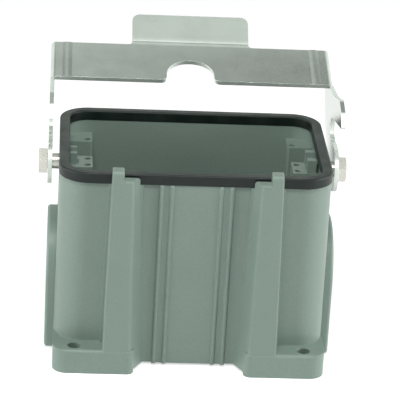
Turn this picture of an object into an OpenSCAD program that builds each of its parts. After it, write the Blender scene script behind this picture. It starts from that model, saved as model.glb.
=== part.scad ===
// Surface-mounting housing for two 24-pole rectangular connector inserts side by side,
// with a sealing ring and one stainless locking lever on two pivot bolts.
// The origin is at the middle of the base. X runs along the long side, and the front is -Y.

/* [Housing] */
// Height of the casting up to the rim under the sealing ring
body_h = 97; // [90:0.5:120]
// Width of the casting at the rim
rim_w = 131; // [126:0.5:140]
// Depth of the casting at the rim
rim_d = 89.2; // [86:0.2:96]
// Width that the end walls gain from the rim down to the base
base_gain_w = 2; // [0:0.2:4]
// Depth that the long walls lose from the rim down to the base
base_loss_d = 8.2; // [0:0.2:12]
// Radius of the upright corners
corner_r = 14; // [12:0.5:20]
// Wall thickness
wall = 3.8; // [3:0.1:5]
// Floor thickness
floor_t = 4; // [3:0.1:6]
// Height of the walls' lower edges above the panel that the feet stand on
base_gap = 1.3; // [0.5:0.1:2]
// Width of the low rim that this leaves round the base
base_gap_w = 6; // [4.5:0.5:10]

/* [Sealing ring] */
// Width of the ring's section
ring_t = 5.1; // [4.6:0.1:6]
// Height of the ring's section
ring_h = 5.1; // [4.4:0.1:7]
// Overhang of the ring past the end walls
ring_over_x = 0.45; // [0:0.05:1]
// Overhang of the ring past the long walls
ring_over_y = 1.1; // [0:0.05:1.5]
// Radius on the ring's upper edges
ring_edge_r = 0.9; // [0.3:0.1:1.5]
// Thickness of the tongue on the rim that holds the ring
tongue_t = 1.6; // [1.2:0.1:2]
// Height of the tongue above the rim
tongue_h = 2.6; // [1.5:0.1:3.2]

/* [Feet] */
// Thickness of the feet
foot_h = 12.4; // [8:0.2:18]
// Distance that the feet reach out from the long walls at the base
foot_reach = 12.3; // [11:0.1:15]
// Width over the feet past the base on each end
foot_side = 0.1; // [0:0.1:2]
// Distance from the middle to the inner end of each foot
foot_inner_x = 26.9; // [22:0.1:28]
// Plan radius of the outer corners of the feet
foot_outer_r = 7.5; // [3:0.5:9]
// Plan radius of the inner corners of the feet
foot_inner_r = 3.5; // [1:0.5:6]
// Radius along the top edge of the feet
foot_edge_r = 1.6; // [0.5:0.1:3]
// Diameter of the fixing holes
foot_hole_d = 6.5; // [5:0.1:7]
// Distance from the end of a foot to its fixing hole
foot_hole_side = 10.6; // [8:0.1:13]
// Distance from the front of a foot to its fixing hole
foot_hole_front = 5.8; // [5:0.1:7]

/* [Columns] */
// Distance from the middle to the inner side of each column, beside the ring
column_inner_x = 27.2; // [26:0.1:30]
// Width of each column beside the ring
column_w = 13.6; // [12:0.1:15]
// Angle of the inner side, which leans away from the middle towards the front
column_flare = 28; // [0:1:35]
// Draft on both sides of each column, which widen it downwards
column_draft = 1.05; // [0:0.05:1.2]
// Gap between the sealing ring and the columns
column_gap = 0.5; // [0.3:0.1:1.5]
// Thickness of the columns beside the sealing ring
column_t = 6.3; // [5:0.1:8]
// Height of the column shoulders above the rim
shoulder_h = 4; // [2:0.25:6]
// Radius on the inner front edge of each column
column_edge_r = 2.6; // [0.5:0.1:3]
// Width of each finger
finger_w = 5.8; // [4:0.1:7]
// Height of the fingers above the shoulders
finger_h = 5; // [2:0.25:9]
// Radius on the upper front edge of the fingers
finger_front_r = 2.6; // [0.6:0.1:3.5]
// Edge radius of the fingers and shoulders
finger_r = 1.1; // [0.5:0.1:1.6]
// Width of the low step on each side of a column
step_w = 1.4; // [1:0.1:4]
// Height of the low steps above the wall
step_rise = 1.7; // [0.5:0.1:2.4]

/* [Long wall ribs] */
// Width of the raised panel between the columns
panel_w = 36; // [35:0.5:44]
// Height of the panel above the wall
panel_rise = 0.6; // [0.3:0.1:1.5]
// Distance from the middle to the inner ribs
rib_inner_x = 11.9; // [8:0.1:14]
// Distance from the middle to the outer ribs
rib_outer_x = 16.9; // [15:0.1:17.4]
// Radius of the half-round ribs
rib_r = 1.15; // [0.6:0.05:1.6]
// Distance from the rim to the tops of the ribs
rib_end = 0.9; // [0.5:0.1:6]

/* [Cable entries] */
// Width of the arched pads around the side entries
pad_w = 51; // [46:0.5:56]
// Thickness of the pads past the base on each end
pad_t = 4.3; // [2:0.1:5]
// Radius on the outer edge of the pads
pad_edge_r = 1.5; // [0.5:0.1:2]
// Height of the entry axis
entry_z = 39.3; // [34:0.5:44]
// Minor diameter of the M40 entry thread
entry_d = 38.5; // [30:0.5:40]
// Chamfer at the mouth of each entry
entry_chamfer = 0.9; // [0.3:0.1:1.5]

/* [Insert seats] */
// Distance between the insert screw holes along X
insert_hole_x = 104; // [100:0.5:106]
// Distance between the screw holes of one insert along Y
insert_hole_y = 27; // [24:0.5:28]
// Distance between the two inserts
insert_pitch = 35.4; // [34:0.2:37]
// Depth of the insert seats below the rim
seat_depth = 6.8; // [5:0.2:12]
// Tapping diameter of the insert screw holes
insert_hole_d = 3.3; // [2.5:0.1:4]
// Depth of the insert screw holes
insert_hole_depth = 9; // [6:0.5:11]
// Distance from a hole's axis to the edges of its seat
seat_edge = 3.4; // [2.8:0.1:4]
// Distance from a hole's axis to the edge of its seat that faces the middle
seat_reach = 2.6; // [2.4:0.1:5]
// Thickness of the middle seats at their free edge
mid_seat_t = 12; // [11.5:0.5:16]

/* [Pivots] */
// Depth of the lever axis below the rim
pivot_depth = 7; // [6:0.25:9]
// Depth of the spot faces that the bushes stand on, below the rim's end faces
spot_depth = 0.3; // [0.2:0.1:0.8]
// Gap between the casting and the arms
arm_gap = 4.1; // [4.1:0.1:8]
// Outer diameter of the bush
bush_d = 7.7; // [7.2:0.1:8.4]
// Thread diameter of the pivot bolt
bolt_d = 6; // [4:0.5:6]
// Length of thread that the bolt has in the casting
bolt_grip = 7.65; // [6:0.05:8.4]
// Width across the flats of the bolt head
bolt_af = 12; // [10.5:0.5:14]
// Thickness of the bolt head
bolt_head_h = 4.3; // [3:0.1:6]
// Turn of the bolt heads on their axes
bolt_turn = 22; // [0:1:59]
// Height of the left end's two ribs above the lever axis
left_rib_top = 6.4; // [4:0.1:6.6]
// Distance between the left end's two ribs
left_rib_pitch = 8.2; // [8:0.1:10]
// Thickness of the left end's ribs
left_rib_t = 2; // [1:0.1:2.5]
// Height of the right end's two ribs above the lever axis
right_rib_top = 10; // [4:0.1:11]
// Distance between the right end's two ribs
right_rib_pitch = 11.6; // [8:0.1:11.6]
// Thickness of the right end's ribs
right_rib_t = 3.4; // [1:0.1:3.6]
// Distance that the right end's ribs reach in past their boss
right_rib_reach = 1.2; // [0:0.1:1.5]

/* [Locking lever] */
// Sheet thickness
sheet = 2.1; // [1.5:0.1:2.5]
// Clearance between the bridge and the sealing ring as the lever swings past
bridge_clear = 0.5; // [0.3:0.1:3]
// Distance of the bridge's outer face from the plane through the lever axis
bridge_offset = 20.3; // [20.2:0.1:24]
// Width of the bridge sheet
bridge_band = 31.3; // [28:0.1:40]
// Inner radius of the two corner bends
bend_r = 0.4; // [0.2:0.1:1]
// Angle of the bridge above the horizontal at rest
lean = 15; // [5:1:60]
// Radius of the lower ends of the arms
arm_end_r = 11; // [10:0.25:12]
// Radius of the hook slots, which take the pegs of the mating hood
slot_r = 5.6; // [4.5:0.1:6]
// Distance from the lever axis to the seat of a peg, along the bridge
slot_u = 17.5; // [17:0.1:18.5]
// Distance from the lever axis to the seat of a peg, across the bridge
slot_n = 12; // [11.6:0.1:13]
// Distance from the arms' outer faces to the beads pressed into the bridge
bead_in = 8.3; // [6:0.1:12]
// Width of the beads
bead_w = 4.8; // [3:0.1:5]
// Height of the beads
bead_h = 0.25; // [0.1:0.05:0.5]
// Width of the half-round notch in the bridge
notch_w = 24; // [16:0.5:30]
// Depth of the notch
notch_depth = 17.6; // [16:0.2:20]
// Radius where the notch runs out into the edge
notch_edge_r = 3.2; // [1:0.2:5]
// Sideways place of the notch
notch_x = -0.8; // [-4:0.1:4]
// Width of the handle tab
tab_w = 60; // [50:1:90]
// Length of the handle tab from its bend
tab_len = 17.8; // [12:0.2:26]
// Distance that the tab's bend lies beyond the bridge
tab_base = 2.9; // [2.4:0.1:5]
// Angle of the tab against the bridge
tab_angle = 18; // [5:1:60]
// Corner radius of the tab
tab_r = 4; // [1:0.25:7]

/* [Hidden] */
$fn = 96;
far = 300;                        // longer than the whole housing
fit = 0.05;                       // radial clearance of the bolts and of the ring's groove
bush_fit = 0.08;                  // radial running clearance of the arms on the bushes
side_play = 0.15;                 // between an arm and the head of its bolt
thread_relief = 1.4;              // the tapped holes run on past the tips of the bolts

draft_x = atan(base_gain_w / 2 / body_h);
draft_y = atan(base_loss_d / 2 / body_h);
base_hx = (rim_w + base_gain_w) / 2;
base_hy = (rim_d - base_loss_d) / 2;

ring_hx = rim_w / 2 + ring_over_x;
ring_hy = rim_d / 2 + ring_over_y;
ring_r = corner_r + (ring_over_x + ring_over_y) / 2;
ring_top = body_h + ring_h;

foot_front = base_hy + foot_reach;
foot_hx = base_hx + foot_side;
column_back = ring_hy + column_gap;
column_front = column_back + column_t;
column_outer_x = column_inner_x + column_w;
shoulder_z = body_h + shoulder_h;
finger_z = shoulder_z + finger_h;
finger_x = column_outer_x - finger_w;
pad_hx = base_hx + pad_t;
rib_len = (body_h - rib_end) / cos(draft_y) + rib_r;

seat_z = body_h - seat_depth;
seat_inner_x = insert_hole_x / 2 - seat_reach;
inner_hole_y = (insert_pitch - insert_hole_y) / 2;
outer_hole_y = (insert_pitch + insert_hole_y) / 2;

pivot_z = body_h - pivot_depth;
spot_x = rim_w / 2 - spot_depth;
arm_in = spot_x + arm_gap;
arm_out = arm_in + sheet;
bush_len = arm_gap + sheet + side_play;
bolt_tip = spot_x - bolt_grip;
boss_in = bolt_tip - 0.25;        // inner end of the boss that the bolt is tapped into
boss_top = pivot_z + bolt_d / 2 + 1;
ring_in = ring_hx - ring_t - 0.25; // what stands above the rim stays inside this

bend_out = bend_r + sheet;
bead_r = (pow(bead_w / 2, 2) + pow(bead_h, 2)) / (2 * bead_h);
ring_corner = norm([ring_hy, ring_top - pivot_z]);
bridge_near = sqrt(pow(ring_corner + bridge_clear, 2) - pow(bridge_offset - sheet, 2));
bridge_far = bridge_near + bridge_band;
tab_bend = bridge_far + tab_base;
claw_low = [-14.6, 34.8];         // lower corner of the claw's nose, from the lever axis
claw_nose = [-8.6, 40.2];         // upper corner of the claw's nose
claw_back = [12.5, 34];           // where the claw's upper edge bends down to the bridge
mouth_angle = 26.5;               // how far round its seat the hook slot's upper edge starts

// ---------- plane curves ----------

function unit(v) = v / norm(v);
function turned(v, a) = [v[0] * cos(a) - v[1] * sin(a), v[0] * sin(a) + v[1] * cos(a)];

// The arc of radius r that rounds corner q between its neighbours p and s
function corner_arc(p, q, s, r, steps) =
    r <= 0 ? [q] :
    let (a = unit(p - q), b = unit(s - q),
         half = acos(a * b) / 2,
         centre = q + unit(a + b) * r / sin(half),
         start = q + a * r / tan(half) - centre,
         way = (a[0] * b[1] - a[1] * b[0] > 0 ? -1 : 1) * (180 - 2 * half))
    [for (k = [0:steps]) centre + turned(start, way * k / steps)];

// A closed outline from corners given as [x, y, radius]
function rounded(c, steps = 8) = [
    for (i = [0:len(c) - 1])
        let (p = c[(i + len(c) - 1) % len(c)], q = c[i], s = c[(i + 1) % len(c)])
        for (pt = corner_arc([p[0], p[1]], [q[0], q[1]], [s[0], s[1]], q[2], steps)) pt];

// ---------- building blocks ----------

module both_ends() { children(); mirror([1, 0, 0]) children(); }
module both_walls() { children(); mirror([0, 1, 0]) children(); }

// A plane shape given in Y and Z, drawn out along X
module along_x(x0, x1) translate([x0, 0, 0]) rotate([90, 0, 90]) linear_extrude(x1 - x0) children();

// A plane shape given in X and Z, drawn out along Y
module along_y(y0, y1) translate([0, y1, 0]) rotate([90, 0, 0]) linear_extrude(y1 - y0) children();

// One upright corner at +X -Y with the two walls that meet in it, leaned to their drafts
module leaning_corner(hx, hy, r)
    translate([hx, -hy, 0]) rotate([draft_y, 0, 0]) rotate([0, -draft_x, 0])
        translate([0, 0, -10]) linear_extrude(body_h + 30) {
            translate([-r, r]) circle(r);
            translate([-far, r]) square(far);
            translate([-far, 0]) square([far - r, far]);
        }

// A block inside the casting's drafted outer walls, between two heights
module drafted(inset, z0, z1) {
    hx = base_hx - inset;
    hy = base_hy - inset;
    r = corner_r - inset;
    intersection() {
        translate([-far / 2, -far / 2, z0]) cube([far, far, z1 - z0]);
        leaning_corner(hx, hy, r);
        mirror([1, 0, 0]) leaning_corner(hx, hy, r);
        mirror([0, 1, 0]) leaning_corner(hx, hy, r);
        mirror([1, 0, 0]) mirror([0, 1, 0]) leaning_corner(hx, hy, r);
    }
}

// A bar that runs round a rectangle with round corners. Its section's x points outwards from
// the line hx, hy, r and its y points up.
module run_round(hx, hy, r) {
    both_ends() both_walls()
        translate([hx - r, hy - r, 0]) rotate_extrude(angle = 90) translate([r, 0]) children();
    both_ends() translate([hx, 0, 0]) along_y(r - hy, hy - r) children();
    both_walls() translate([0, hy, 0]) along_x(r - hx, hx - r) children();
}

// ---------- housing ----------

module foot() intersection() {
    linear_extrude(foot_h)
        polygon(rounded([[foot_inner_x, 4 - base_hy, 0], [foot_inner_x, -foot_front, foot_inner_r],
                         [foot_hx, -foot_front, foot_outer_r], [foot_hx, 14 - base_hy, 3],
                         [foot_hx - 9, 14 - base_hy, 0]]));
    along_x(0, far)
        polygon(rounded([[-foot_front, 0, 0], [0, 0, 0], [0, foot_h, 0],
                         [-foot_front, foot_h, foot_edge_r]]));
}

// A prism that leans about its own place at the rim
module leaning_prism(angle) translate([0, 0, body_h]) rotate([0, angle, 0])
    translate([0, 0, -body_h - 10]) linear_extrude(body_h + 40) children();

// A column's drafted sides and front, from the line y forwards
module column_sides(y) {
    flare = tan(column_flare);
    intersection() {
        leaning_prism(column_draft)
            polygon(rounded([[column_inner_x - (column_back - y) * flare, -y, 0],
                             [column_inner_x + column_t * flare, -column_front, column_edge_r],
                             [far, -column_front, 0], [far, -y, 0]]));
        leaning_prism(-column_draft)
            polygon(rounded([[-far, -y, 0], [-far, -column_front, 0],
                             [column_outer_x, -column_front, 0.9], [column_outer_x, -y, 0]]));
    }
}

// The end of a front column above the rim
module column_top() intersection() {
    column_sides(column_back);
    union() {
        intersection() {
            along_y(-far / 2, 0)
                polygon(rounded([[column_inner_x, body_h - 1, 0],
                                 [column_inner_x, shoulder_z, 2 * finger_r],
                                 [far, shoulder_z, 0], [far, body_h - 1, 0]]));
            along_x(0, far)
                polygon(rounded([[-column_front, 0, 0], [-column_back, 0, 0],
                                 [-column_back, shoulder_z, finger_r],
                                 [-column_front, shoulder_z, finger_r]]));
        }
        intersection() {
            along_y(-far / 2, 0)
                polygon(rounded([[finger_x, body_h - 1, 0], [finger_x, finger_z, finger_r],
                                 [column_outer_x, finger_z, finger_r],
                                 [column_outer_x, body_h - 1, 0]]));
            along_x(0, far)
                polygon(rounded([[-column_front, 0, 0], [-column_back, 0, 0],
                                 [-column_back, finger_z, finger_r],
                                 [-column_front, finger_z, finger_front_r]]));
        }
    }
}

module column() intersection() {
    translate([0, -far / 2, base_gap]) cube([far, far, body_h - base_gap]);
    union() {
        column_sides(base_hy - 1);
        intersection() {
            drafted(-step_rise, 0, body_h);
            leaning_prism(column_draft)
                translate([column_inner_x - step_w, -far]) square(far);
            leaning_prism(-column_draft)
                translate([column_outer_x + step_w - far, -far]) square(far);
        }
    }
}

module ribbed_panel() intersection() {
    union() {
        intersection() {
            drafted(-panel_rise, 0, body_h);
            translate([-panel_w / 2, -far / 2, -1]) cube([panel_w, far, far]);
        }
        both_walls() both_ends() for (x = [rib_inner_x, rib_outer_x])
            translate([x, -base_hy - panel_rise, 0]) rotate([draft_y, 0, 0])
                translate([0, 0, -rib_r]) {
                    cylinder(r = rib_r, h = rib_len);
                    translate([0, 0, rib_len]) sphere(rib_r);
                }
    }
    translate([-far / 2, -far / 2, base_gap]) cube([far, far, body_h - base_gap]);
}

// An arched pad: a disc round the entry axis and straight sides below it, with round edges
module entry_pad() {
    inner = base_hx - wall;
    half = pad_w / 2;
    translate([0, 0, entry_z]) rotate([0, 90, 0]) rotate_extrude()
        polygon(rounded([[0, inner, 0], [half, inner, 0], [half, pad_hx, pad_edge_r],
                         [0, pad_hx, 0]]));
    intersection() {
        linear_extrude(entry_z)
            polygon(rounded([[inner, -half, 0], [pad_hx, -half, pad_edge_r],
                             [pad_hx, half, pad_edge_r], [inner, half, 0]]));
        along_y(-half, half)
            polygon(rounded([[inner, base_gap, 0], [pad_hx, base_gap, pad_edge_r],
                             [pad_hx, entry_z, 0], [inner, entry_z, 0]]));
    }
}

// Seats in the four corners and in the middle of each end, and the boss of a pivot bolt
module inner_seats() {
    both_walls() linear_extrude(seat_z)
        polygon(rounded([[seat_inner_x, outer_hole_y - seat_edge, 1],
                         [far, outer_hole_y - seat_edge, 0], [far, far, 0],
                         [seat_inner_x, far, 0]]));
    along_y(-inner_hole_y - seat_edge, inner_hole_y + seat_edge)
        polygon([[seat_inner_x, seat_z], [seat_inner_x, seat_z - mid_seat_t],
                 [rim_w / 2, seat_z - mid_seat_t - 8], [rim_w / 2, seat_z]]);
    translate([boss_in, -left_rib_pitch / 2, seat_z - mid_seat_t])
        cube([base_hx - boss_in, left_rib_pitch, boss_top - seat_z + mid_seat_t]);
}

// Two ribs, one on each side of a pivot bolt's boss
module boss_ribs(inner, top, pitch, t) for (side = [-1, 1])
    translate([inner, side * pitch / 2 - t / 2, seat_z - mid_seat_t])
        cube([ring_in - inner, t, top - seat_z + mid_seat_t]);

module screw_holes() {
    both_ends() both_walls() {
        for (y = [inner_hole_y, outer_hole_y])
            translate([insert_hole_x / 2, y, seat_z - insert_hole_depth])
                cylinder(d = insert_hole_d, h = insert_hole_depth + 1);
        translate([foot_hx - foot_hole_side, foot_hole_front - foot_front, -1])
            cylinder(d = foot_hole_d, h = foot_h + 2);
    }
}

module entry_hole() {
    translate([seat_inner_x, 0, entry_z]) rotate([0, 90, 0]) cylinder(d = entry_d, h = far);
    translate([pad_hx - entry_chamfer, 0, entry_z]) rotate([0, 90, 0])
        cylinder(d1 = entry_d, d2 = entry_d + 4 * entry_chamfer, h = 2 * entry_chamfer);
}

module pivot_hole() translate([0, 0, pivot_z]) rotate([0, 90, 0]) {
    translate([0, 0, bolt_tip - thread_relief])
        cylinder(r = bolt_d / 2 + fit, h = spot_x - bolt_tip + thread_relief + 1);
    translate([0, 0, spot_x]) cylinder(r = bush_d / 2 + 0.75, h = 10);
}

module housing() color([0.53, 0.56, 0.54]) {
    difference() {
        union() {
            drafted(0, base_gap, body_h);
            drafted(base_gap_w, 0, floor_t);
            both_ends() both_walls() foot();
            both_ends() both_walls() column();
            both_ends() column_top();
            ribbed_panel();
            both_ends() entry_pad();
            translate([0, 0, body_h - 0.5])
                run_round(ring_hx - ring_t / 2, ring_hy - ring_t / 2, ring_r - ring_t / 2)
                    translate([-tongue_t / 2, 0]) square([tongue_t, tongue_h + 0.5]);
        }
        difference() {
            drafted(wall, floor_t, body_h + 20);
            intersection() {
                drafted(wall / 2, 0, body_h);
                both_ends() inner_seats();
            }
            mirror([1, 0, 0])
                boss_ribs(boss_in, pivot_z + left_rib_top, left_rib_pitch, left_rib_t);
            boss_ribs(boss_in - right_rib_reach, pivot_z + right_rib_top,
                      right_rib_pitch, right_rib_t);
        }
        screw_holes();
        both_ends() entry_hole();
        both_ends() pivot_hole();
    }
}

// ---------- sealing ring ----------

module sealing_ring() color([0.13, 0.14, 0.13])
    translate([0, 0, body_h]) run_round(ring_hx, ring_hy, ring_r) difference() {
        polygon(rounded([[-ring_t, 0, 0], [0, 0, 0], [0, ring_h, ring_edge_r],
                         [-ring_t, ring_h, ring_edge_r]], 5));
        translate([-(ring_t + tongue_t) / 2 - fit, -1])
            square([tongue_t + 2 * fit, 1 + tongue_h + 2 * fit]);
    }

// ---------- locking lever ----------
// Drawn with the lever axis at the origin, the bridge along +Y and its outer face up.

module arm_outline() {
    edge = bridge_offset - bend_out;
    difference() {
        union() {
            circle(arm_end_r);
            polygon(rounded([
                [bridge_far, edge, 0], [bridge_far - 29.3, -2.8, 7], [2, -arm_end_r, 0],
                [0, 0, 0], [-1, arm_end_r, 0], [slot_u - 6, slot_n + 3, 0],
                [claw_low[0], claw_low[1], 1], [claw_nose[0], claw_nose[1], 2.2],
                [claw_nose[0] + 11.1, claw_nose[1], 7], [claw_back[0], claw_back[1], 5],
                [24, 27.8, 6], [bridge_near - 0.6, bridge_offset, 1.5],
                [bridge_near, edge, 0]]));
        }
        // hook slot: a round seat for the peg that opens forwards under the claw
        translate([slot_u, slot_n]) circle(slot_r);
        polygon(rounded([[slot_u + slot_r * sin(mouth_angle), slot_n + slot_r * cos(mouth_angle), 0],
                         [claw_low[0], claw_low[1], 0], [-18, 20, 0], [0, arm_end_r + 0.6, 0],
                         [8, 9.4, 3], [slot_u - 1.5, slot_n - slot_r, 0]]));
    }
}

module bend_section() intersection() {
    difference() { circle(bend_out); circle(bend_r); }
    square(bend_out);
}

// A low bead on the bridge's outer face
module bead_section() intersection() {
    translate([arm_out - bead_in, bridge_offset + bead_h - bead_r]) circle(bead_r);
    translate([0, bridge_offset - sheet / 2]) square([arm_out - bend_out, sheet]);
}

module bridge_outline() difference() {
    union() {
        translate([bend_out - arm_out, bridge_near])
            square([2 * (arm_out - bend_out), bridge_band]);
        polygon(rounded([[-tab_w / 2 - 3, bridge_far - 1, 0], [-tab_w / 2 - 3, bridge_far, 0],
                         [-tab_w / 2, bridge_far, 2], [-tab_w / 2, tab_bend, 0],
                         [tab_w / 2, tab_bend, 0], [tab_w / 2, bridge_far, 2],
                         [tab_w / 2 + 3, bridge_far, 0], [tab_w / 2 + 3, bridge_far - 1, 0]]));
    }
    translate([notch_x, bridge_near]) {
        translate([0, notch_depth - notch_w / 2]) circle(notch_w / 2);
        mirror([0, 1]) translate([-notch_w / 2, notch_w / 2 - notch_depth])
            square([notch_w, notch_depth]);
        polygon(rounded([[-notch_w, -1, 0], [-notch_w, 0, 0], [-notch_w / 2, 0, notch_edge_r],
                         [-notch_w / 2, notch_edge_r + 0.1, 0], [notch_w / 2, notch_edge_r + 0.1, 0],
                         [notch_w / 2, 0, notch_edge_r], [notch_w, 0, 0], [notch_w, -1, 0]]));
    }
}

module handle_tab() translate([0, tab_bend, bridge_offset]) {
    along_x(-tab_w / 2, tab_w / 2)
        polygon(concat([[0, 0]], [for (k = [0:4]) sheet * [sin(tab_angle * k / 4), -cos(tab_angle * k / 4)]]));
    rotate([tab_angle, 0, 0]) translate([0, 0, -sheet]) linear_extrude(sheet)
        polygon(rounded([[-tab_w / 2, 0, 0], [tab_w / 2, 0, 0], [tab_w / 2, tab_len, tab_r],
                         [-tab_w / 2, tab_len, tab_r]]));
}

module locking_lever() color([0.78, 0.79, 0.78])
    translate([0, 0, pivot_z]) rotate([lean, 0, 0]) {
        both_ends() difference() {
            along_x(arm_in, arm_out) arm_outline();
            rotate([0, 90, 0]) cylinder(r = bush_d / 2 + bush_fit, h = far);
        }
        both_ends() translate([arm_out - bend_out, 0, bridge_offset - bend_out])
            along_y(bridge_near, bridge_far) bend_section();
        translate([0, 0, bridge_offset - sheet]) linear_extrude(sheet) bridge_outline();
        both_ends() along_y(bridge_near, bridge_far) bead_section();
        handle_tab();
    }

// ---------- pivots ----------
// Drawn for the right end, with the axis along +X.

module on_pivot() translate([0, 0, pivot_z]) rotate([0, 90, 0]) children();

module pivot_bush() on_pivot() translate([0, 0, spot_x]) difference() {
    cylinder(d = bush_d, h = bush_len);
    translate([0, 0, -1]) cylinder(r = bolt_d / 2 + fit, h = bush_len + 2);
}

module pivot_bolt() on_pivot() {
    translate([0, 0, bolt_tip]) cylinder(d = bolt_d, h = bolt_grip + bush_len);
    translate([0, 0, spot_x + bush_len]) intersection() {
        rotate(90 - bolt_turn) cylinder(d = bolt_af / cos(30), h = bolt_head_h, $fn = 6);
        cylinder(r1 = bolt_af / 2 + bolt_head_h * 1.8, r2 = bolt_af / 2 - 0.2, h = bolt_head_h);
    }
}

module pivot_bush_left() color([0.72, 0.72, 0.7]) mirror([1, 0, 0]) pivot_bush();
module pivot_bush_right() color([0.72, 0.72, 0.7]) pivot_bush();
module pivot_bolt_left() color([0.7, 0.7, 0.67]) mirror([1, 0, 0]) pivot_bolt();
module pivot_bolt_right() color([0.7, 0.7, 0.67]) pivot_bolt();

housing();
sealing_ring();
locking_lever();
pivot_bush_left();
pivot_bush_right();
pivot_bolt_left();
pivot_bolt_right();
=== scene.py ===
import math

import bmesh
import bpy
from mathutils import Matrix, Vector

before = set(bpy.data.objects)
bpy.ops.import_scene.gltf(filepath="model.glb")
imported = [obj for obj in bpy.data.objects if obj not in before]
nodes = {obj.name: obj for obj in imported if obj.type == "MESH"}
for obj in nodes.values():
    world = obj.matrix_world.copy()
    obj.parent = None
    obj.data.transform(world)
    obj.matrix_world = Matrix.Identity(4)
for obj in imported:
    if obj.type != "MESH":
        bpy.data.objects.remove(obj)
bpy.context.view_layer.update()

mm = 0.001


class Socket:
    # expressions on sockets add their own maths nodes
    def __init__(self, paint, out):
        self.paint, self.out = paint, out

    def maths(self, operation, *others):
        return self.paint.node("ShaderNodeMath", {"operation": operation}, [self, *others])

    def __add__(self, other): return self.maths("ADD", other)
    def __radd__(self, other): return self.maths("ADD", other)
    def __sub__(self, other): return self.maths("SUBTRACT", other)
    def __rsub__(self, other):
        return self.paint.node("ShaderNodeMath", {"operation": "SUBTRACT"}, [other, self])
    def __mul__(self, other): return self.maths("MULTIPLY", other)
    def __rmul__(self, other): return self.maths("MULTIPLY", other)
    def __truediv__(self, other): return self.maths("DIVIDE", other)
    def largest(self, other): return self.maths("MAXIMUM", other)
    def size(self): return self.maths("ABSOLUTE")

    def ramp(self, low, high, fromValue=0.0, toValue=1.0):
        # smooth step from one value to another
        return self.paint.node("ShaderNodeMapRange", {"interpolation_type": "SMOOTHSTEP", "clamp": True},
                               {"Value": self, "From Min": low, "From Max": high,
                                "To Min": fromValue, "To Max": toValue})


class Paint:
    # one material, or the surroundings; node() is the only way that nodes are added
    def __init__(self, name, surroundings=False):
        self.owner = bpy.data.worlds.new(name) if surroundings else bpy.data.materials.new(name)
        self.owner.use_nodes = True
        self.tree = self.owner.node_tree
        self.tree.nodes.clear()
        self.end = self.tree.nodes.new("ShaderNodeOutputWorld" if surroundings else "ShaderNodeOutputMaterial")

    def link(self, value, socket):
        if isinstance(value, Socket):
            self.tree.links.new(value.out, socket)
        elif isinstance(value, (tuple, list)) and len(value) == 3 and socket.type == "RGBA":
            socket.default_value = (*value, 1.0)
        else:
            socket.default_value = value

    def node(self, kind, settings=None, inputs=None, output=0):
        made = self.tree.nodes.new(kind)
        for key, value in (settings or {}).items():
            if key == "stops":
                ramp = made.color_ramp
                while len(ramp.elements) < len(value):
                    ramp.elements.new(0.5)
                for element, (place, colour) in zip(ramp.elements, value):
                    element.position, element.color = place, (*colour, 1.0)
            else:
                setattr(made, key, value)
        pairs = enumerate(inputs) if isinstance(inputs, list) else (inputs or {}).items()
        for key, value in pairs:
            self.link(value, made.inputs[key])
        return Socket(self, made.outputs[output])

    def place(self, scale=(1.0, 1.0, 1.0)):
        here = self.node("ShaderNodeTexCoord", output="Object")
        return self.node("ShaderNodeMapping", {}, {"Vector": here, "Scale": scale})

    def axis(self, which, where=None):
        return self.node("ShaderNodeSeparateXYZ", {}, [where or self.place()], output=which)

    def noise(self, grain, detail=2.0, rough=0.5, where=None):
        # grain is the size of one blotch in metres
        return self.node("ShaderNodeTexNoise", {}, {"Vector": where or self.place(), "Scale": 1.0 / grain,
                                                    "Detail": detail, "Roughness": rough})

    def mix(self, amount, first, second, blend="MIX"):
        return self.node("ShaderNodeMix", {"data_type": "RGBA", "blend_type": blend},
                         {0: amount, 6: first, 7: second}, output=2)

    def shades(self, value, stops, tint=(1.0, 1.0, 1.0)):
        colours = [(place, [level * part for part in tint]) for place, level in stops]
        return self.node("ShaderNodeValToRGB", {"stops": colours}, [value])

    def rounded(self, radius, samples=6):
        return self.node("ShaderNodeBevel", {"samples": samples}, {"Radius": radius})

    def bump(self, height, depth, under=None):
        inputs = {"Height": height, "Distance": depth, "Strength": 1.0}
        if under is not None:
            inputs["Normal"] = under
        return self.node("ShaderNodeBump", {}, inputs)

    def show(self, shader):
        self.tree.links.new(shader.out, self.end.inputs["Surface"])
        return self.owner

    def finish(self, **surface):
        names = {key.replace("_", " "): value for key, value in surface.items()}
        return self.show(self.node("ShaderNodeBsdfPrincipled", {}, names))


cameraView = {
    "place": (-69.49 * mm, -1094.13 * mm, 517.09 * mm),
    "yaw": 0.0676,
    "pitch": 0.386,
    "roll": 0.0549,
    "lens": 214.28,
    "sensor": 36.0,
    "clip": (0.01, 50.0),
}


def makeCamera(view):
    yaw, pitch, roll = view["yaw"], view["pitch"], view["roll"]
    ahead = Vector((math.sin(yaw) * math.cos(pitch), math.cos(yaw) * math.cos(pitch), -math.sin(pitch)))
    level = Vector((math.cos(yaw), -math.sin(yaw), 0.0))
    upright = level.cross(ahead)
    side = math.cos(roll) * level + math.sin(roll) * upright
    top = -math.sin(roll) * level + math.cos(roll) * upright
    data = bpy.data.cameras.new("camera")
    data.lens, data.sensor_width = view["lens"], view["sensor"]
    data.clip_start, data.clip_end = view["clip"]
    camera = bpy.data.objects.new("camera", data)
    bpy.context.scene.collection.objects.link(camera)
    turn = Matrix((side, top, -ahead)).transposed().to_4x4()
    camera.matrix_world = Matrix.Translation(view["place"]) @ turn
    bpy.context.scene.camera = camera


makeCamera(cameraView)
print("camera placed")


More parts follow.
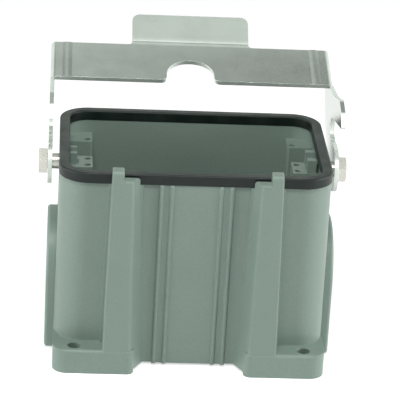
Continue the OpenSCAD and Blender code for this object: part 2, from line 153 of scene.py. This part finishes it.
studio = {
    "floorSize": 8.0,
    "floorColour": (0.84, 0.86, 0.85),
    "floorLift": 0.58,  # added to the floor only where it is seen or mirrored
    "white": (1.0, 1.0, 1.0),
    "skyFill": 0.02,
    # what polished metal sees: brightness from straight down, 0, to straight up, 1
    "mirrorLevels": [(0.0, 1.0), (0.78, 1.0), (0.86, 0.66), (0.90, 0.58), (0.93, 0.95),
                     (0.985, 0.97), (0.994, 0.72), (1.0, 0.70)],
    # the same from left, 0, to right, 1, where mirrorBand lets it show
    "mirrorSides": [(0.0, 1.0), (0.26, 1.0), (0.33, 0.20), (0.44, 0.30), (0.47, 1.0),
                    (0.505, 0.85), (0.545, 0.34), (0.68, 0.16), (0.74, 1.0), (1.0, 1.0)],
    "mirrorBand": [(0.0, 0.0), (0.82, 0.0), (0.87, 1.0), (0.91, 1.0), (0.94, 0.0)],
    "mirrorTint": (0.93, 1.0, 0.94),
}

lampTarget = (0.0, 0.0, 60 * mm)
lamps = {
    "leftLamp": {"place": (-1.15, -0.30, 0.35), "size": (0.9, 0.9), "power": 11.4},
    "rightLamp": {"place": (1.15, -0.25, 0.35), "size": (0.9, 0.9), "power": 14.4},
    "frontLamp": {"place": (-0.1, -0.75, 1.35), "size": (0.5, 0.4), "power": 10.8},
}


def makeFloor(values):
    mesh = bpy.data.meshes.new("floor")
    form = bmesh.new()
    bmesh.ops.create_grid(form, x_segments=1, y_segments=1, size=values["floorSize"] / 2)
    form.to_mesh(mesh)
    form.free()
    floor = bpy.data.objects.new("floor", mesh)
    bpy.context.scene.collection.objects.link(floor)
    paint = Paint("floorPaint")
    plain = paint.node("ShaderNodeBsdfDiffuse", {}, {"Color": values["floorColour"]})
    lift = paint.node("ShaderNodeEmission", {}, {"Color": values["white"], "Strength": values["floorLift"]})
    bright = paint.node("ShaderNodeAddShader", {}, [plain, lift])
    isCamera = paint.node("ShaderNodeLightPath", output="Is Camera Ray")
    isGlossy = paint.node("ShaderNodeLightPath", output="Is Glossy Ray")
    isThrough = paint.node("ShaderNodeLightPath", output="Is Transmission Ray")
    seen = isCamera.largest(isGlossy).largest(isThrough)
    mesh.materials.append(paint.show(paint.node("ShaderNodeMixShader", {}, [seen, plain, bright])))


def makeSky(values):
    sky = Paint("studio", surroundings=True)
    bpy.context.scene.world = sky.owner
    isCamera = sky.node("ShaderNodeLightPath", output="Is Camera Ray")
    isGlossy = sky.node("ShaderNodeLightPath", output="Is Glossy Ray")
    white = sky.node("ShaderNodeBackground", {}, {"Color": values["white"], "Strength": 1.0})
    fill = sky.node("ShaderNodeBackground", {}, {"Color": values["white"], "Strength": values["skyFill"]})
    toward = sky.node("ShaderNodeTexCoord", output="Generated")
    height = sky.axis(2, toward) * 0.5 + 0.5
    across = sky.axis(0, toward) * 0.5 + 0.5
    levels = sky.shades(height, values["mirrorLevels"], values["mirrorTint"])
    sides = sky.shades(across, values["mirrorSides"])
    band = sky.shades(height, values["mirrorBand"])
    mirror = sky.node("ShaderNodeBackground", {}, {"Color": sky.mix(band, levels, sides, "MULTIPLY")})
    unseen = sky.node("ShaderNodeMixShader", {}, [isGlossy, fill, mirror])
    sky.show(sky.node("ShaderNodeMixShader", {}, [isCamera, unseen, white]))


def makeLamp(name, values, target):
    data = bpy.data.lights.new(name, "AREA")
    data.shape = "RECTANGLE"
    data.size, data.size_y = values["size"]
    data.energy = values["power"]
    lamp = bpy.data.objects.new(name, data)
    bpy.context.scene.collection.objects.link(lamp)
    lamp.location = values["place"]
    lamp.rotation_euler = (Vector(target) - Vector(values["place"])).to_track_quat("-Z", "Y").to_euler()


makeFloor(studio)
makeSky(studio)
for lampName, lampValues in lamps.items():
    makeLamp(lampName, lampValues, lampTarget)
print("floor, surroundings and lamps made")


castingFinish = {
    "colour": (0.208, 0.276, 0.238),
    "paleColour": (0.246, 0.322, 0.278),
    "speckle": 0.75 * mm,
    "orangePeel": 2.4 * mm,
    "clouds": 22 * mm,
    "bumpDepth": 0.055 * mm,
    "edge": 0.55 * mm,
    "roughness": 0.42,
}

ringFinish = {
    "colour": (0.005, 0.010, 0.008),
    "dusty": (0.010, 0.018, 0.015),
    "grain": 0.5 * mm,
    "clouds": 9 * mm,
    "bumpDepth": 0.012 * mm,
    "roughness": 0.40,
}

sheetFinish = {
    "colour": (0.70, 0.735, 0.70),
    "dullColour": (0.64, 0.675, 0.64),
    "paleColour": (0.90, 0.92, 0.90),
    # painted shade: colour of the thin dark line painted along the tab's bend
    "paintedCreaseShadeColour": (0.30, 0.31, 0.30),
    "grain": 0.30 * mm,
    "stretch": 0.35,
    "specks": 0.7 * mm,
    "clouds": 14 * mm,
    "bumpDepth": 0.002 * mm,
    "edge": 0.25 * mm,
    "roughness": 0.22,
    "cutRoughness": 0.55,
    "lean": math.radians(15),
    "pivotHeight": 90 * mm,
    "bendAlong": 78.37 * mm,  # where the handle tab turns up, from the pivots along the bridge
    "bendSlope": 0.16,
    "bendWidth": 3.4 * mm,
    "fade": 0.030,
    "fadeWidth": 18 * mm,
    # widths of that painted crease shade, from full strength to none
    "paintedCreaseShade": (0.12 * mm, 0.32 * mm),
}

boltFinish = {
    "colour": (0.60, 0.585, 0.54),
    "dullColour": (0.50, 0.485, 0.44),
    "grain": 0.4 * mm,
    "bumpDepth": 0.006 * mm,
    "edge": 0.22 * mm,
    "roughness": 0.30,
}

bushFinish = {
    "colour": (0.62, 0.60, 0.56),
    "dullColour": (0.52, 0.50, 0.46),
    "turning": 0.12 * mm,
    "stretch": 0.02,
    "bumpDepth": 0.004 * mm,
    "roughness": 0.26,
}


def castingPaint(values):
    paint = Paint("castingPaint")
    fine = paint.noise(values["speckle"], rough=0.55)
    broad = paint.noise(values["orangePeel"], detail=1.0)
    normal = paint.bump(fine * 0.75 + broad * 0.5, values["bumpDepth"], paint.rounded(values["edge"]))
    cloud = paint.noise(values["clouds"])
    amount = fine.ramp(0.35, 0.75) * 0.55 + cloud * 0.45
    colour = paint.mix(amount, values["colour"], values["paleColour"])
    roughness = fine.ramp(0.3, 0.7, values["roughness"] - 0.05, values["roughness"] + 0.06)
    return paint.finish(Base_Color=colour, Roughness=roughness, Normal=normal, Specular_IOR_Level=0.5)


def ringRubber(values):
    paint = Paint("ringRubber")
    grain = paint.noise(values["grain"], detail=3.0)
    cloud = paint.noise(values["clouds"], detail=3.0)
    colour = paint.mix(cloud.ramp(0.35, 0.8), values["colour"], values["dusty"])
    roughness = cloud.ramp(0.3, 0.8, values["roughness"] - 0.06, values["roughness"] + 0.10)
    return paint.finish(Base_Color=colour, Roughness=roughness,
                        Normal=paint.bump(grain, values["bumpDepth"]), Specular_IOR_Level=0.33)


def bendHeight(along, width, slope):
    # a hollow whose sides steepen towards the bend
    near = (1.0 - along.size() / width).largest(0.0)
    return near * near * (slope * width / 2)


def rolledSheet(values):
    paint = Paint("rolledSheet")
    rolling = paint.noise(values["grain"], detail=3.0, where=paint.place(scale=(values["stretch"], 1.0, 1.0)))
    cloud = paint.noise(values["clouds"], detail=3.0)
    specks = paint.noise(values["specks"], rough=0.7).ramp(0.66, 0.74)
    colour = paint.mix(cloud.ramp(0.3, 0.75), values["colour"], values["dullColour"])
    colour = paint.mix(specks * 0.7, colour, values["paleColour"])
    # distance from the tab's bend, measured along the bridge
    cosine, sine = math.cos(values["lean"]), math.sin(values["lean"])
    height = paint.axis(2) - values["pivotHeight"]
    along = paint.axis(1) * cosine + height * sine - values["bendAlong"]
    bend = (bendHeight(along, values["bendWidth"], values["bendSlope"])
            + bendHeight(along, values["fadeWidth"], values["fade"]))
    # painted shade: a thin dark line along the tab's bend stands in for the shade in the crease
    paintedCreaseShade = along.size().ramp(*values["paintedCreaseShade"], 1.0, 0.0)
    colour = paint.mix(paintedCreaseShade * 0.45, colour, values["paintedCreaseShadeColour"])
    # sheared edges are duller than the sheet's faces
    facing = paint.node("ShaderNodeNewGeometry", output="True Normal")
    level = paint.axis(2, facing) * cosine - paint.axis(1, facing) * sine
    side = paint.axis(0, facing).size()
    cut = 1.0 - level.size().largest(side).ramp(0.80, 0.92)
    normal = paint.bump(rolling * values["bumpDepth"] - bend, 1.0, paint.rounded(values["edge"], 4))
    roughness = rolling.ramp(0.3, 0.7, values["roughness"] - 0.03, values["roughness"] + 0.05)
    return paint.finish(Base_Color=colour, Metallic=1.0,
                        Roughness=roughness.largest(cut * values["cutRoughness"]), Normal=normal)


def boltMetal(values):
    paint = Paint("boltMetal")
    grain = paint.noise(values["grain"], detail=3.0)
    colour = paint.mix(grain.ramp(0.3, 0.75), values["colour"], values["dullColour"])
    normal = paint.bump(grain, values["bumpDepth"], paint.rounded(values["edge"], 4))
    roughness = grain.ramp(0.3, 0.7, values["roughness"] - 0.05, values["roughness"] + 0.08)
    return paint.finish(Base_Color=colour, Metallic=1.0, Roughness=roughness, Normal=normal)


def bushMetal(values):
    paint = Paint("bushMetal")
    turned = paint.place(scale=(1.0, values["stretch"], values["stretch"]))
    turning = paint.noise(values["turning"], where=turned)
    colour = paint.mix(turning.ramp(0.3, 0.75), values["colour"], values["dullColour"])
    return paint.finish(Base_Color=colour, Metallic=1.0, Roughness=values["roughness"],
                        Normal=paint.bump(turning, values["bumpDepth"]))


def dress(names, material):
    for name in names:
        mesh = nodes[name].data
        mesh.materials.clear()
        mesh.materials.append(material)


dress(["housing"], castingPaint(castingFinish))
dress(["sealing_ring"], ringRubber(ringFinish))
dress(["locking_lever"], rolledSheet(sheetFinish))
dress(["pivot_bolt_left", "pivot_bolt_right"], boltMetal(boltFinish))
dress(["pivot_bush_left", "pivot_bush_right"], bushMetal(bushFinish))
print("finishes made")


bpy.context.scene.view_settings.view_transform = "Standard"
